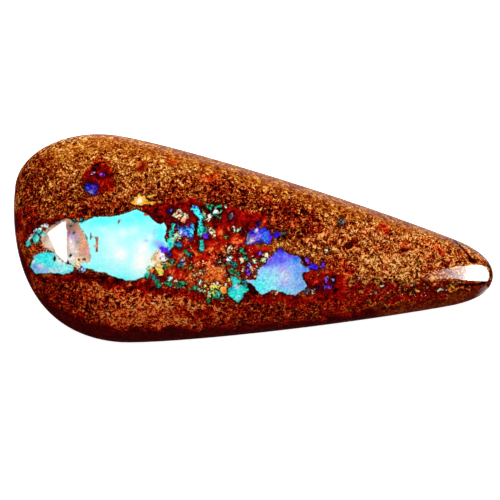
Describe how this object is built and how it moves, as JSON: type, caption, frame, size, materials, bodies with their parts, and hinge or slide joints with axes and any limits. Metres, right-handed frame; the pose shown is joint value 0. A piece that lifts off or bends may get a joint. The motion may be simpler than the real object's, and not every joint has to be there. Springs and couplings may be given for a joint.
{
  "type": "polished boulder opal freeform",
  "caption": "Pear-shaped polished ironstone cabochon with a bright seam of blue opal across its domed face, sawn flat behind so that it rests level.",
  "frame": {"origin": "on the flat sawn back, at the middle of the plan's box", "axes": "+X from the round butt to the narrow tip, +Y across the stone, +Z out of the flat back, up"},
  "size_m": [0.042, 0.0178, 0.0062],
  "materials": {
    "polished_boulder_opal": "high polish over granular brown ironstone, with opal in cyan, blue, violet and green"
  },
  "bodies": {
    "root": {"boulder_opal": "polished_boulder_opal"}
  },
  "joints": []
}
